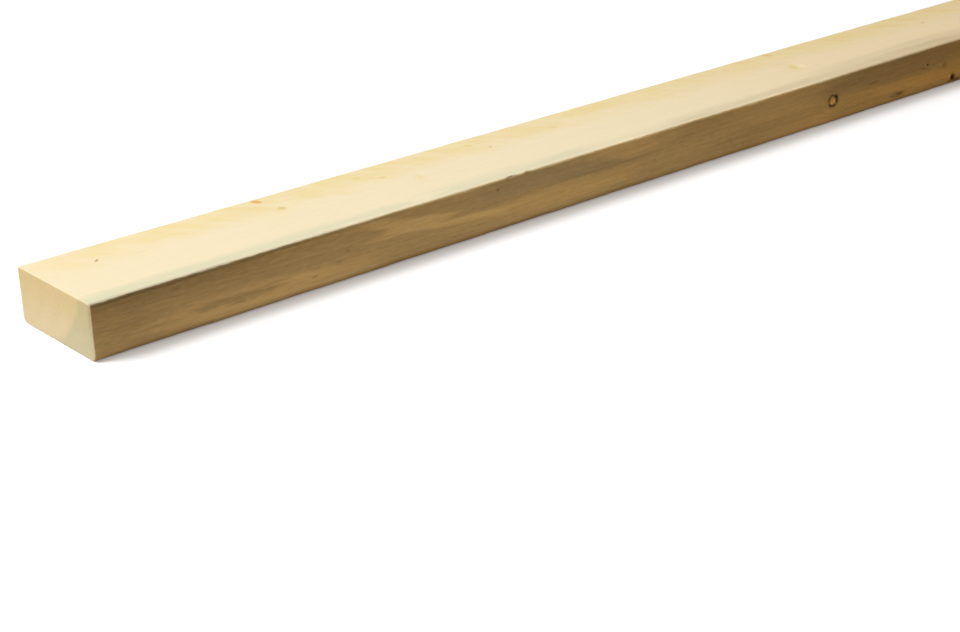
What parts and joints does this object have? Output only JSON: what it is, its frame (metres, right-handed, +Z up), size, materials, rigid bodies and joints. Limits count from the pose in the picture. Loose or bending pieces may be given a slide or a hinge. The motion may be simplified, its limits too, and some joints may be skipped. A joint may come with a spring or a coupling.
{
  "type": "timber lumber plank",
  "caption": "Straight dressed softwood plank of two by four section, with eased long arrises, square-sawn ends and a bluish sapwood stain along one edge.",
  "frame": {"origin": "bottom centre of the plank, on the floor that it lies on", "axes": "+X along the grain, away from the end that faces the viewer; +Y across the width, away from the viewer; +Z up, through the thickness"},
  "size_m": [2.438, 0.089, 0.038],
  "materials": {
    "softwood": "matte"
  },
  "bodies": {
    "root": {"plank": "softwood"}
  },
  "joints": []
}
